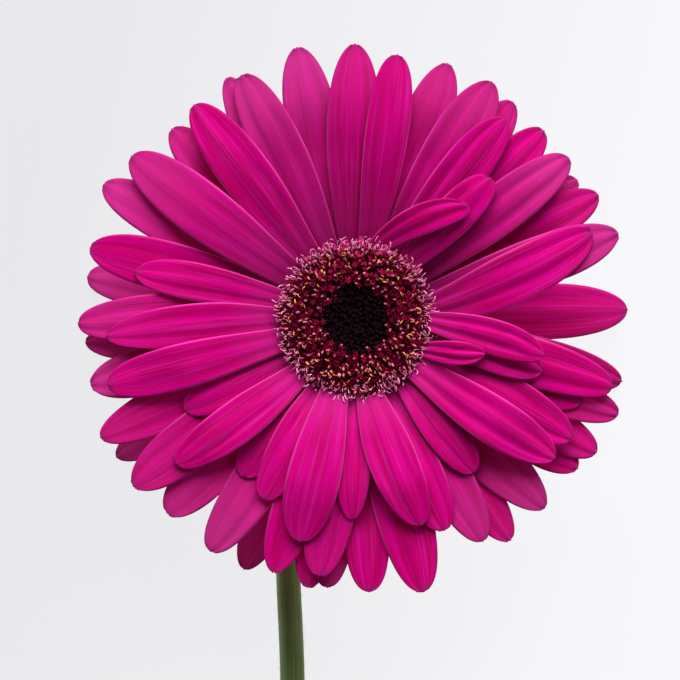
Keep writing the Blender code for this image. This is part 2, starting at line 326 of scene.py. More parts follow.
def tissue_material(name, dark, light, roughness, scale, sheen=0.1, gloss=0.15):
    """Plant tissue whose colour wanders between two tones, and from floret to floret."""
    material, nodes = new_material(name)
    where = nodes.add("ShaderNodeTexCoord").outputs["Object"]
    noise = nodes.add("ShaderNodeTexNoise", {"Vector": where, "Scale": scale, "Detail": 3.0})
    tone = nodes.add("ShaderNodeAttribute", attribute_name="tone").outputs["Fac"]
    share = nodes.math("MULTIPLY_ADD", noise.outputs[0], 0.6, nodes.math("MULTIPLY", tone, 0.6))
    colour = nodes.blend(nodes.ramp(share, 0.25, 0.9), (*dark, 1.0), (*light, 1.0))
    skin = nodes.add(
        "ShaderNodeBsdfPrincipled",
        {
            "Base Color": colour,
            "Roughness": roughness,
            "Sheen Weight": sheen,
            "Specular IOR Level": gloss,
            "Normal": nodes.bump(noise.outputs[0], 0.5, 0.1 * MM),
        },
    )
    nodes.add("ShaderNodeOutputMaterial", {"Surface": skin.outputs[0]})
    return material


def stem_material():
    """Olive green with faint ribs along it and a downy sheen."""
    material, nodes = new_material("stem green")
    ribs = streaks(nodes, Count=40.0, Stretch=9.0)
    where = nodes.add("ShaderNodeTexCoord").outputs["Object"]
    blotch = nodes.add("ShaderNodeTexNoise", {"Vector": where, "Scale": 90.0, "Detail": 3.0})
    share = nodes.math("MULTIPLY_ADD", ribs, 0.6, nodes.math("MULTIPLY", blotch.outputs[0], 0.4))
    dark = (0.085, 0.133, 0.022, 1.0)
    light = (0.18, 0.28, 0.062, 1.0)
    colour = nodes.blend(nodes.ramp(share, 0.35, 0.65), dark, light)
    skin = nodes.add(
        "ShaderNodeBsdfPrincipled",
        {
            "Base Color": colour,
            "Roughness": 0.6,
            "Sheen Weight": 0.2,
            "Sheen Tint": (0.8, 0.9, 0.5, 1.0),
            "Normal": nodes.bump(ribs, 0.6, 0.2 * MM),
        },
    )
    nodes.add("ShaderNodeOutputMaterial", {"Surface": skin.outputs[0]})
    return material


RAY = ray_material()
STEM = stem_material()
BRACT = tissue_material("bract green", (0.07, 0.11, 0.025), (0.17, 0.24, 0.07), 0.6, 400)
BUD = tissue_material("bud black", (0.003, 0.0005, 0.002), (0.009, 0.001, 0.004), 0.7, 900, 0.0, 0.04)
TUBE = tissue_material("floret maroon", (0.10, 0.0, 0.014), (0.38, 0.003, 0.06), 0.6, 700, 0.0, 0.05)
STIGMA = tissue_material("stigma pink", (0.30, 0.02, 0.06), (0.72, 0.20, 0.24), 0.6, 900)
POLLEN = tissue_material("pollen gold", (0.40, 0.08, 0.02), (0.95, 0.42, 0.10), 0.7, 1500)
LIP = tissue_material("lip magenta", (0.30, 0.0, 0.09), (0.55, 0.01, 0.22), 0.5, 700)
THREAD = tissue_material("thread pink", (0.55, 0.03, 0.20), (0.92, 0.38, 0.56), 0.55, 900)
HAIR = tissue_material("stem hair", (0.28, 0.30, 0.12), (0.5, 0.52, 0.28), 0.6, 900)

# ------------ ray florets

RAY_STATIONS = 46
RAY_STRIPS = 16
RAY_THICKNESS = 0.26 * MM
# The sheets are this much wider than their solids, so that neighbours overlap.
OVERLAP = 1.1
# They keep this share of the bend across that is read off the solids.
CURL_SHARE = 0.3
# Where along a ray it is widest, drawn for each ray.
WIDEST_AT = (0.5, 0.66)
# From this distance outwards the rows close up towards one level, in their own order.
GATHER_FROM = 33 * MM
GATHER_TO = 46 * MM
GATHER_LEVEL = 34.4 * MM
GATHER_SHARE = 0.55
# The front rows are the most even in colour. A high tone is a paler petal with a duller end, a
# painted sheen that the back rows carry the most of.
FRONT_ROWS = ("middle", "inner", "top")
FRONT_TONES = (0.0, 0.5)
BACK_TONES = (0.3, 1.0)
# A solid is read at this many distances, clear of its foot and tip, at three places across it.
# READ_HALF is the share of its width from the middle place to an outer one.
READ_STATIONS = 22
READ_FROM_FOOT = 0.6 * MM
READ_FROM_TIP = 0.5 * MM
READ_ACROSS = (0.12, 0.5, 0.88)
READ_HALF = 0.38

# The tucked rays have no solid. They start near the cup, rise, and dip a little at the tip.
# Slopes are in degrees: the one at the foot, and how much of it is lost on the way to the tip.
TUCKED_START = 15.5 * MM
TUCKED_HEIGHT = 23.2 * MM
TUCKED_FOOT_SLOPE = 24
TUCKED_SLOPE_LOSS = 34
TUCKED_DROOP = 0.12
# They are lowered until they clear what is over them, but stay off the surface. What they need
# up to TUCK_BASE of the way out lowers them whole, and the rest tilts them.
TUCK_STATIONS = 24
TUCK_BASE = 0.2
TUCK_CLEARANCE = 0.75 * MM
TUCK_FLOOR = 0.9 * MM
# Direction in degrees, reach and width in millimetres.
TUCKED_RAYS = [
    (27, 54.3, 8.2),
    (54, 53.4, 8.6),
    (118, 54.4, 8.0),
    (134, 52.6, 8.6),
    (194, 54.2, 9.0),
    (260, 54.3, 8.2),
    (305, 53.9, 8.4),
    (331, 54.9, 8.8),
    (32, 52.2, 8.0),
    (115, 53.3, 8.4),
    (185, 53.9, 8.2),
    (264, 53.8, 8.2),
    (326, 53.4, 8.4),
]


def cad_mesh(node):
    """A CAD node's vertices about the head's axis, and its triangles."""
    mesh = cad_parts[node].data
    points = np.zeros(len(mesh.vertices) * 3)
    mesh.vertices.foreach_get("co", points)
    points = points.reshape(-1, 3) - np.array(HEAD)
    mesh.calc_loop_triangles()
    corners = np.zeros(len(mesh.loop_triangles) * 3, dtype=int)
    mesh.loop_triangles.foreach_get("vertices", corners)
    return points, corners.reshape(-1, 3)


def tree_of(points, faces):
    """A surface that rays can be cast at."""
    return BVHTree.FromPolygons([Vector(p) for p in points], faces.tolist())


class RayShape:
    """One ray floret about the head's axis: turn, height, droop and lean are smooth curves."""

    def __init__(self, start, reach, width, turn, height, droop, lean):
        self.start = start
        self.reach = reach
        self.width = width
        self.turn = turn
        self.height = height
        self.droop = droop
        self.lean = lean

    @classmethod
    def read(cls, node):
        """Cut the solid with circles about the axis and fit smooth curves to what is found."""
        points, triangles = cad_mesh(node)
        solid = tree_of(points, triangles)
        radius = np.hypot(points[:, 0], points[:, 1])
        start, reach = radius.min(), radius.max()
        ends = points[triangles[:, [0, 1, 1, 2, 2, 0]].reshape(-1, 2)]
        end_radius = np.hypot(ends[:, :, 0], ends[:, :, 1])
        mean = points[:, :2].mean(axis=0)
        facing = math.atan2(mean[1], mean[0])
        rows = []
        for r in np.linspace(start + READ_FROM_FOOT, reach - READ_FROM_TIP, READ_STATIONS):
            crossing = (end_radius[:, 0] - r) * (end_radius[:, 1] - r) < 0
            near, far = ends[crossing, 0], ends[crossing, 1]
            near_radius, far_radius = end_radius[crossing, 0], end_radius[crossing, 1]
            share = (r - near_radius) / (far_radius - near_radius)
            cut = near + (far - near) * share[:, None]
            turns = (np.arctan2(cut[:, 1], cut[:, 0]) - facing + math.pi) % (2 * math.pi) - math.pi
            low, high = turns.min(), turns.max()
            heights = [cls.level(solid, r, facing + low + (high - low) * k) for k in READ_ACROSS]
            if None in heights:
                continue
            rows.append((r, facing + 0.5 * (low + high), (high - low) * r, *heights))
        r, turn, width, left, middle, right = np.array(rows).T
        s = (r - start) / (reach - start)
        half = READ_HALF * width
        return cls(
            start,
            reach,
            width.max(),
            np.poly1d(np.polyfit(s, turn, 3)),
            np.poly1d(np.polyfit(s, middle, 5)),
            np.poly1d(np.polyfit(s, (middle - 0.5 * (left + right)) / half, 2)),
            np.poly1d(np.polyfit(s, (right - left) / (2 * half), 2)),
        )

    @staticmethod
    def level(solid, r, turn):
        """Height of the middle of the sheet at one place, or None off its edge."""
        x, y = r * math.cos(turn), r * math.sin(turn)
        above = solid.ray_cast(Vector((x, y, 1.0)), Vector((0, 0, -1)))[0]
        below = solid.ray_cast(Vector((x, y, -1.0)), Vector((0, 0, 1)))[0]
        if above is None or below is None:
            return None
        return 0.5 * (above.z + below.z)

    def sheet(self, rng):
        """Points of a fine sheet: stations along it, strips across it."""
        blunt = rng.uniform(0.5, 0.66)
        widest = rng.uniform(*WIDEST_AT)
        teeth = rng.uniform(0.0, 0.35) * MM
        notch = rng.uniform(-0.15, 0.15)
        along = 1 - (1 - np.linspace(0, 1, RAY_STATIONS)) ** 1.3
        across = np.linspace(-1, 1, RAY_STRIPS + 1)
        s, v = np.meshgrid(along, across, indexing="ij")
        rise = np.clip(s / widest, 0, 1)
        fall = np.clip((s - widest) / (1 - widest), 0, 1)
        share = 0.5 + 0.5 * np.sin(0.5 * math.pi * rise) ** 1.3
        share = share * (0.1 + 0.9 * (1 - fall**2.5) ** blunt)
        half = 0.5 * OVERLAP * self.width * share
        lobes = np.cos((v - notch) * math.pi * 2.0)
        tip = np.clip((s - 0.86) / 0.14, 0, 1) ** 2
        reach = self.reach - tip * (0.5 * teeth * (1 - lobes) * (1 - v**2) + 0.25 * MM * v**2)
        radius = self.start + (reach - self.start) * s
        turn = self.turn(s) + v * half / radius
        height = self.height(s) + self.lean(s) * v * half
        height = height - self.droop(s) * CURL_SHARE * v**2 * half
        return np.stack([radius * np.cos(turn), radius * np.sin(turn), height], axis=-1), s, v


def strip_faces(rows, columns):
    """Quads over a grid of points, facing up where rows run outwards and columns run left."""
    index = np.arange(rows * columns).reshape(rows, columns)
    quads = np.stack([index[:-1, :-1], index[1:, :-1], index[1:, 1:], index[:-1, 1:]], axis=-1)
    return quads.reshape(-1, 4)


def ray_tree():
    """Grooves, nerves and a slight ruffle pressed into a ray's sheet, along its normals."""
    tree, nodes, given, result = geometry_tree(
        "ray relief", Float=["Groove Depth", "Nerve Depth", "Ruffle", "Seed"]
    )
    uv = nodes.add(
        "GeometryNodeInputNamedAttribute", {"Name": "UVMap"}, data_type="FLOAT_VECTOR"
    ).outputs["Attribute"]
    apart = nodes.add("ShaderNodeSeparateXYZ", {0: uv}).outputs
    along, across = apart[0], apart[1]
    where = nodes.xyz(nodes.math("MULTIPLY", along, 1.5), 0.0, given["Seed"])
    drift = nodes.add("ShaderNodeTexNoise", {"Vector": where, "Scale": 1.0}).outputs[0]
    wander = nodes.math("MULTIPLY_ADD", drift, 0.3, -0.15)
    place_across = nodes.math("ADD", across, wander, clamp=True)
    left = [(0, 0.66), (0.14, 0.6), (0.3, 0.2), (0.42, 0.66)]
    right = [(0.58, 0.7), (0.7, 0.22), (0.86, 0.6), (1, 0.68)]
    section = nodes.curve(place_across, left + right)
    fade = nodes.curve(along, [(0, 0.1), (0.22, 0.8), (0.6, 1.0), (0.9, 0.55), (1, 0.2)])
    groove = nodes.math("MULTIPLY", nodes.math("SUBTRACT", section, 0.5), given["Groove Depth"])
    wave = nodes.math("SINE", nodes.math("MULTIPLY", place_across, 62.0))
    nerve = nodes.math("MULTIPLY", wave, given["Nerve Depth"])
    relief = nodes.math("MULTIPLY", nodes.math("ADD", groove, nerve), fade)
    where = nodes.xyz(nodes.math("MULTIPLY", along, 4.0), across, given["Seed"])
    bumpy = nodes.add("ShaderNodeTexNoise", {"Vector": where, "Scale": 1.3, "Detail": 1.0}).outputs[0]
    off_centre = nodes.math("ABSOLUTE", nodes.math("MULTIPLY_ADD", across, 2.0, -1.0))
    sides = nodes.ramp(off_centre, 0.1, 1.0, 0.25, 1.0)
    free = nodes.math("MULTIPLY", sides, nodes.ramp(along, 0.2, 0.8))
    ruffle = nodes.math("MULTIPLY", nodes.math("SUBTRACT", bumpy, 0.5), given["Ruffle"])
    lift = nodes.math("ADD", relief, nodes.math("MULTIPLY", ruffle, free))
    offset = nodes.scale(nodes.add("GeometryNodeInputNormal").outputs[0], lift)
    pressed = nodes.add("GeometryNodeSetPosition", {"Geometry": given["Geometry"], "Offset": offset})
    finish_tree(nodes, pressed.outputs[0], given["Material"], result)
    return tree


def gathered(points):
    """Draw the outer parts of a sheet towards the level where the rows close up."""
    radius = np.hypot(points[..., 0], points[..., 1])
    share = np.clip((radius - GATHER_FROM) / (GATHER_TO - GATHER_FROM), 0, 1)
    pull = GATHER_SHARE * share**2 * (3 - 2 * share)
    moved = points.copy()
    moved[..., 2] += pull * (GATHER_LEVEL - points[..., 2])
    return moved


def ray_piece(name, shape, points, s, v, tree, rng):
    """A finished ray floret with its relief and thickness, from the points of its sheet."""
    mesh = bpy.data.meshes.new(name)
    faces = strip_faces(RAY_STATIONS, RAY_STRIPS + 1)
    places = points.reshape(-1, 3) + np.array(HEAD)
    mesh.from_pydata(places.tolist(), [], faces.tolist())
    lay_uv(mesh, np.stack([s.ravel(), 0.5 + 0.5 * v.ravel()], axis=-1))
    tone = mesh.attributes.new("tone", "FLOAT", "POINT")
    low, high = FRONT_TONES if name.split("_")[1] in FRONT_ROWS else BACK_TONES
    tone.data.foreach_set("value", np.full(len(places), rng.uniform(low, high)))
    # Rays that point to the right are grooved the deepest.
    groove_mm = rng.uniform(0.3, 0.7) + 0.4 * max(0.0, math.cos(shape.turn(0.5)))
    thing = grow(
        name,
        mesh,
        tree,
        **{
            "Groove Depth": groove_mm * MM,
            "Nerve Depth": 0.02 * MM,
            "Ruffle": rng.uniform(0.3, 0.9) * MM,
            "Seed": float(rng.uniform(0, 50)),
            "Material": RAY,
        },
    )
    wall = thing.modifiers.new("wall", "SOLIDIFY")
    wall.thickness = RAY_THICKNESS
    wall.offset = 0.0
    return settle(thing)


def tuck(shape, above):
    """Lower and tilt a ray until it clears everything over it, but keep it off the surface."""
    s = np.linspace(0, 1, TUCK_STATIONS)
    height = np.array([shape.height(k) for k in s])
    drop = np.zeros(len(s))
    for i, k in enumerate(s):
        radius = shape.start + (shape.reach - shape.start) * k
        taper = 0.35 + 0.65 * math.sin(math.pi * k) ** 0.7
        for across in (-1.0, -0.5, 0.0, 0.5, 1.0):
            turn = shape.turn(k) + across * 0.5 * shape.width * taper / radius
            under = Vector((radius * math.cos(turn), radius * math.sin(turn), -1))
            for solid in above:
                hit = solid.ray_cast(under, Vector((0, 0, 1)))[0]
                if hit is not None:
                    drop[i] = max(drop[i], height[i] - hit.z + TUCK_CLEARANCE)
    base = drop[s < TUCK_BASE].max()
    tilt = (np.maximum(drop - base, 0.0) / np.maximum(s, TUCK_BASE)).max()
    lowered = np.maximum(height - base - tilt * s, TUCK_FLOOR)
    shape.height = np.poly1d(np.polyfit(s, lowered, 5))
    return shape


def tucked_shape(turn_deg, reach_mm, width_mm):
    """A ray of the lowest row before it is lowered."""
    reach = reach_mm * MM
    s = np.linspace(0, 1, TUCK_STATIONS)
    slope = np.radians(TUCKED_FOOT_SLOPE - TUCKED_SLOPE_LOSS * s)
    rise = np.concatenate([[0], np.cumsum(np.tan(slope[:-1]) * np.diff(s))])
    height = TUCKED_HEIGHT + rise * (reach - TUCKED_START)
    return RayShape(
        start=TUCKED_START,
        reach=reach,
        width=width_mm * MM,
        turn=np.poly1d([math.radians(turn_deg)]),
        height=np.poly1d(np.polyfit(s, height, 5)),
        droop=np.poly1d([TUCKED_DROOP]),
        lean=np.poly1d([0.0]),
    )


def build_rays():
    """A petal for every ray solid, then the tucked ones under them."""
    rng = np.random.default_rng(11)
    tree = ray_tree()
    nodes = sorted(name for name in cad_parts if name.startswith("ray_"))
    above = []
    for node in nodes:
        row = node.split("_")[1]
        shape = RayShape.read(node)
        if row != "resting":
            above.append(tree_of(*cad_mesh(node)))
        points, s, v = shape.sheet(rng)
        if row not in ("resting", "top"):
            points = gathered(points)
        place(ray_piece("petal_" + node[4:], shape, points, s, v, tree, rng), "ray", node)
    for number, (turn, reach, width) in enumerate(TUCKED_RAYS, 1):
        shape = tuck(tucked_shape(turn, reach, width), above)
        points, s, v = shape.sheet(rng)
        above.append(tree_of(points.reshape(-1, 3), strip_faces(RAY_STATIONS, RAY_STRIPS + 1)))
        piece = ray_piece(f"petal_tucked_{number:02d}", shape, gathered(points), s, v, tree, rng)
        place(piece, "ray")


# ------------ disc


def turns_of(sides):
    """Even angles once round a circle."""
    return [2 * math.pi * k / sides for k in range(sides)]


def skinned(name, rings, throat=None):
    """Rings of points joined into a closed surface. A throat is a point its top sinks to."""
    work = bmesh.new()
    made = [[work.verts.new(spot) for spot in ring] for ring in rings]
    top = made[-1]
    for low, high in zip(made, made[1:]):
        for k in range(len(low)):
            after = (k + 1) % len(low)
            work.faces.new((low[k], low[after], high[after], high[k]))
    if throat is not None:
        sunk = work.verts.new(throat)
        for k in range(len(top)):
            work.faces.new((top[k], top[(k + 1) % len(top)], sunk))
    work.faces.new(list(reversed(made[0])))
    if throat is None:
        work.faces.new(top)
    mesh = bpy.data.meshes.new(name)
    work.to_mesh(mesh)
    work.free()
    return mesh


def turned_mesh(name, profile, sides):
    """A profile of (radius, height) turned about an upright axis, closed at its ends."""
    rings = [
        [(radius * math.cos(turn), radius * math.sin(turn), height) for turn in turns_of(sides)]
        for radius, height in profile
    ]
    mesh = skinned(name, rings)
    mesh.shade_smooth()
    return mesh


def turned_piece(name, profile, sides, material, finish, *nodes):
    """A piece turned about the head's axis."""
    mesh = turned_mesh(name, profile, sides)
    mesh.transform(Matrix.Translation(HEAD))
    mesh.materials.append(material)
    place(add_object(name, mesh), finish, *nodes)


def closed_floret():
    """A blunt, slightly waisted bud, as tall as one unit."""
    return turned_mesh("closed floret", [(0.2, 0), (0.32, 0.45), (0.3, 0.8), (0.12, 1.0)], 6)


def open_floret():
    """A narrow tube that opens into five bent-back lobes, one unit tall."""
    rings = []
    for radius, height, lobe in ((0.11, 0, 0), (0.15, 0.55, 0), (0.2, 0.88, 0.1), (0.36, 1.0, 0.5)):
        ring = []
        for k, turn in enumerate(turns_of(10)):
            out = radius * (1 - lobe * (k % 2))
            dip = 0.12 * lobe * (1 - k % 2)
            ring.append((out * math.cos(turn), out * math.sin(turn), height - dip))
        rings.append(ring)
    return skinned("open floret", rings, throat=(0, 0, 0.7))


def bent_thread(name, bend, radius, sides=5, steps=7, tip=0.75):
    """A thin round thread one unit long that curls over as it rises, closed at both ends."""
    step = 1 / (steps - 1)
    rings = []
    x = z = 0.0
    for i in range(steps):
        angle = bend * i / (steps - 1)
        thick = radius * (1 + (tip - 1) * i / (steps - 1))
        ring = []
        for turn in turns_of(sides):
            side = thick * math.cos(turn)
            out = x + side * math.cos(angle)
            ring.append((out, thick * math.sin(turn), z - side * math.sin(angle)))
        rings.append(ring)
        x += step * math.sin(angle)
        z += step * math.cos(angle)
    return skinned(name, rings)


def spiral_tree():
    """Copies of one shape set in a sunflower spiral over a ring of the disc."""
    radii, heights = ["Inner Radius", "Outer Radius"], ["Inner Height", "Outer Height"]
    leans = ["Inner Lean", "Outer Lean"]
    tree, nodes, given, result = geometry_tree(
        "floret spiral",
        Object=["Shape"],
        Int=["Count", "Seed"],
        Float=[*radii, *heights, *leans, "Crown", "Size", "Jitter", "Kept Share"],
        Vector=["Centre"],
    )
    index = nodes.add("GeometryNodeInputIndex").outputs[0]
    share = nodes.math("DIVIDE", nodes.math("ADD", index, 0.5), given["Count"])
    inner = nodes.math("POWER", given["Inner Radius"], 2.0)
    outer = nodes.math("POWER", given["Outer Radius"], 2.0)
    area = nodes.math("MULTIPLY_ADD", nodes.math("SUBTRACT", outer, inner), share, inner)
    radius = nodes.math("SQRT", area)
    turn = nodes.math("MULTIPLY", index, GOLDEN_ANGLE)
    cosine, sine = nodes.math("COSINE", turn), nodes.math("SINE", turn)
    out = nodes.ramp(radius, given["Inner Radius"], given["Outer Radius"])
    level = nodes.ramp(out, 0.0, 1.0, given["Inner Height"], given["Outer Height"])
    arch = nodes.math("MULTIPLY", out, nodes.math("SUBTRACT", 1.0, out))
    height = nodes.math("MULTIPLY_ADD", arch, nodes.math("MULTIPLY", given["Crown"], 4.0), level)
    x, y = nodes.math("MULTIPLY", radius, cosine), nodes.math("MULTIPLY", radius, sine)
    spot = nodes.xyz(x, y, height)

    def random(kind, low, high, offset):
        return nodes.random(kind, low, high, nodes.math("ADD", given["Seed"], float(offset)))

    shake = random("FLOAT_VECTOR", (-1, -1, -1), (1, 1, 1), 0)
    spot = nodes.vector("ADD", spot, nodes.scale(shake, given["Jitter"]))
    spot = nodes.vector("ADD", spot, given["Centre"])
    points = nodes.add("GeometryNodePoints", {"Count": given["Count"], "Position": spot}).outputs[0]
    lean = nodes.ramp(out, 0.0, 1.0, given["Inner Lean"], given["Outer Lean"])
    x, y = nodes.math("MULTIPLY", lean, cosine), nodes.math("MULTIPLY", lean, sine)
    aim = nodes.vector("ADD", nodes.xyz(x, y, 1.0), nodes.scale(shake, 0.22))
    aligned = nodes.add("FunctionNodeAlignRotationToVector", {"Vector": aim}, axis="Z").outputs[0]
    spin = nodes.xyz(0.0, 0.0, random("FLOAT", 0.0, 6.28, 3))
    spun = nodes.add("FunctionNodeEulerToRotation", {0: spin}).outputs[0]
    turned = nodes.add(
        "FunctionNodeRotateRotation", {0: aligned, 1: spun}, rotation_space="LOCAL"
    ).outputs[0]
    spread = random("FLOAT", -1.0, 1.0, 5)
    growth = nodes.math("MULTIPLY_ADD", spread, SIZE_SPREAD, 1.0)
    settings = {
        "Points": points,
        "Selection": nodes.math("LESS_THAN", random("FLOAT", 0.0, 1.0, 9), given["Kept Share"]),
        "Rotation": turned,
        "Scale": nodes.math("MULTIPLY", given["Size"], growth),
    }
    finish_copies(nodes, given, result, settings, tone=random("FLOAT", 0.0, 1.0, 12))
    return tree


def disc_bed():
    """The solid floor that the florets stand on, so that no light shows between them."""
    low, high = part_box("disc_florets")
    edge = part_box("trans_florets")[1][0] - HEAD.x
    top = high[2] - 2.6 * MM
    profile = [
        (2 * MM, low[2]),
        (edge, low[2]),
        (edge, top - 0.8 * MM),
        (0.85 * edge, top),
        (0.6 * edge, top - 0.8 * MM),
        (0.3 * edge, top - 1.4 * MM),
        (0.03 * edge, top - 1.6 * MM),
    ]
    turned_piece("disc_bed", profile, 48, TUBE, "disc_floret")


# Florets of one row differ in size by up to this share.
SIZE_SPREAD = 0.2

# The rows of the disc. Sizes, jitter, radii, crown and heights are in millimetres, the heights
# from the top of the solid named. A lean of 0 is upright and 1 is 45 degrees outwards. Only the
# kept share of the count is made. A row with stands_in takes the place of its solid.
DISC_ROWS = [
    dict(
        name="disc_buds", finish="disc_bud", shape="bud", material=BUD, solid="disc_bud",
        stands_in=True, count=520, size=1.5, seed=3, jitter=0.15,
        radii=(0.0, 7.1), heights=(-1.4, -0.6), crown=0.0, leans=(0.0, 0.2), kept=1.0,
    ),
    dict(
        name="open_florets", finish="disc_floret", shape="tube", material=TUBE, solid="disc_florets",
        stands_in=True, count=640, size=2.2, seed=5, jitter=0.2,
        radii=(6.7, 13.4), heights=(-3.1, -2.5), crown=0.5, leans=(0.0, 1.2), kept=1.0,
    ),
    dict(
        name="stigmas", finish="trans_floret", shape="style", material=STIGMA, solid="disc_florets",
        stands_in=False, count=640, size=2.8, seed=5, jitter=0.2,
        radii=(6.7, 13.4), heights=(-3.1, -2.5), crown=0.5, leans=(0.0, 1.2), kept=0.42,
    ),
    dict(
        name="pollen_curls", finish="trans_floret", shape="curl", material=POLLEN,
        solid="disc_florets", stands_in=False, count=420, size=1.0, seed=8, jitter=0.3,
        radii=(9.0, 13.4), heights=(-0.6, -0.3), crown=0.4, leans=(0.0, 0.6), kept=0.16,
    ),
    dict(
        name="trans_lips", finish="trans_floret", shape="lip", material=LIP, solid="trans_florets",
        stands_in=True, count=200, size=2.6, seed=13, jitter=0.3,
        radii=(12.4, 14.0), heights=(-3.0, -3.4), crown=0.0, leans=(0.5, 1.4), kept=1.0,
    ),
    dict(
        name="trans_threads", finish="trans_floret", shape="thread", material=THREAD,
        solid="trans_florets", stands_in=False, count=250, size=1.2, seed=17, jitter=0.4,
        radii=(12.9, 16.0), heights=(-0.9, -1.0), crown=0.3, leans=(0.3, 1.3), kept=1.0,
    ),
    dict(
        name="trans_fringe", finish="trans_floret", shape="fringe", material=THREAD,
        solid="trans_florets", stands_in=False, count=380, size=2.8, seed=23, jitter=0.3,
        radii=(12.0, 13.6), heights=(-2.0, -2.2), crown=0.0, leans=(1.0, 2.2), kept=1.0,
    ),
]


def build_disc():
    """The disc's solid bed and the rows of florets that stand on it."""
    tree = spiral_tree()
    meshes = {
        "bud": closed_floret(),
        "tube": open_floret(),
        "style": bent_thread("style", 0.4, 0.05, tip=1.6),
        "curl": bent_thread("curl", 2.6, 0.14, steps=9),
        "thread": bent_thread("thread", 1.7, 0.10),
        "fringe": bent_thread("fringe", 0.5, 0.03, sides=4, steps=5, tip=0.7),
        "lip": bent_thread("lip", 1.7, 0.22, tip=0.35),
    }
    shapes = {name: add_object(name, mesh) for name, mesh in meshes.items()}
    disc_bed()
    for row in DISC_ROWS:
        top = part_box(row["solid"])[1][2]
        values = {
            "Shape": shapes[row["shape"]],
            "Material": row["material"],
            "Count": row["count"],
            "Size": row["size"] * MM,
            "Seed": row["seed"],
            "Jitter": row["jitter"] * MM,
            "Inner Radius": row["radii"][0] * MM,
            "Outer Radius": row["radii"][1] * MM,
            "Inner Height": top + row["heights"][0] * MM,
            "Outer Height": top + row["heights"][1] * MM,
            "Crown": row["crown"] * MM,
            "Inner Lean": row["leans"][0],
            "Outer Lean": row["leans"][1],
            "Kept Share": row["kept"],
            "Centre": tuple(HEAD),
        }
        piece = grow(row["name"], seed_mesh(row["name"]), tree, **values)
        place(piece, row["finish"], *([row["solid"]] if row["stands_in"] else []))
    for shape in shapes.values():
        bpy.data.objects.remove(shape, do_unlink=True)


# ------------ bracts and receptacle


def bract_mesh():
    """A narrow pointed leaf one unit tall that bends outwards, with its foot at the origin."""
    mesh = bpy.data.meshes.new("bract")
    rows, columns = 9, 5
    points = []
    for i in range(rows):
        s = i / (rows - 1)
        half = 0.21 * (0.75 + 0.5 * s) * (1 - s**2.6) ** 0.8 + 0.01
        bend = 0.5 * s**1.6
        for k in range(columns):
            v = 2 * k / (columns - 1) - 1
            points.append((bend - 0.35 * half * v * v, v * half, s))
    mesh.from_pydata(points, [], strip_faces(rows, columns)[:, ::-1].tolist())
    thing = add_object("bract", mesh)
    wall = thing.modifiers.new("wall", "SOLIDIFY")
    wall.thickness = 0.05
    wall.offset = 0.0
    return settle(thing)


def bract_tree():
    """Copies of one leaf in a ring round the head's axis, all leaning outwards."""
    tree, nodes, given, result = geometry_tree(
        "bract ring",
        Object=["Shape"],
        Int=["Count", "Seed"],
        Float=["Radius", "Height", "Lean", "Size", "Turn"],
        Vector=["Centre"],
    )
    index = nodes.add("GeometryNodeInputIndex").outputs[0]
    step = nodes.math("DIVIDE", 2 * math.pi, given["Count"])
    turn = nodes.math("MULTIPLY_ADD", index, step, given["Turn"])
    wobble = nodes.random("FLOAT", -1.0, 1.0, given["Seed"])
    cosine, sine = nodes.math("COSINE", turn), nodes.math("SINE", turn)
    spot = nodes.xyz(
        nodes.math("MULTIPLY", given["Radius"], cosine),
        nodes.math("MULTIPLY", given["Radius"], sine),
        nodes.math("MULTIPLY_ADD", wobble, 0.25 * MM, given["Height"]),
    )
    spot = nodes.vector("ADD", spot, given["Centre"])
    points = nodes.add("GeometryNodePoints", {"Count": given["Count"], "Position": spot}).outputs[0]
    angles = nodes.xyz(0.0, nodes.math("MULTIPLY_ADD", wobble, 0.08, given["Lean"]), turn)
    rotation = nodes.add("FunctionNodeEulerToRotation", {0: angles}).outputs[0]
    size = nodes.math("MULTIPLY", given["Size"], nodes.math("MULTIPLY_ADD", wobble, 0.1, 1.0))
    settings = {"Points": points, "Rotation": rotation, "Scale": size}
    finish_copies(nodes, given, result, settings, tone=wobble)
    return tree


def build_involucre():
    """The fleshy cup under the disc and three rows of bracts pressed to it."""
    low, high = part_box("receptacle")
    foot = low[2]
    top = high[2]
    profile = [
        (2.6 * MM, foot - 0.5 * MM),
        (4.6 * MM, foot + 0.1 * MM),
        (7.6 * MM, foot + 1.0 * MM),
        (10.4 * MM, foot + 3.0 * MM),
        (12.0 * MM, foot + 5.6 * MM),
        (12.6 * MM, foot + 9.0 * MM),
        (12.7 * MM, top - 0.4 * MM),
        (12.2 * MM, top),
    ]
    turned_piece("cup", profile, 64, BRACT, "bract", "receptacle")
    tree = bract_tree()
    leaf = bract_mesh()
    # Piece, CAD node, count, radius and rise in mm, lean in radians, size in mm, turn and seed.
    rows = [
        ("bracts_inner", "inner_bracts", 24, 10.6, 3.4, 0.42, 7.6, 0.0, 4),
        ("bracts_middle", None, 22, 9.0, 2.0, 0.72, 6.6, 0.13, 6),
        ("bracts_outer", "outer_bracts", 18, 6.8, 0.5, 1.0, 6.2, 0.05, 9),
    ]
    for name, node, count, radius, up, lean, size, turn, seed in rows:
        values = {
            "Shape": leaf,
            "Count": count,
            "Radius": radius * MM,
            "Height": foot + up * MM,
            "Lean": lean,
            "Size": size * MM,
            "Turn": turn,
            "Seed": seed,
            "Centre": tuple(HEAD),
            "Material": BRACT,
        }
        piece = grow(name, seed_mesh(name), tree, **values)
        place(piece, "bract", *([node] if node else []))
    bpy.data.objects.remove(leaf, do_unlink=True)


# ------------ stem

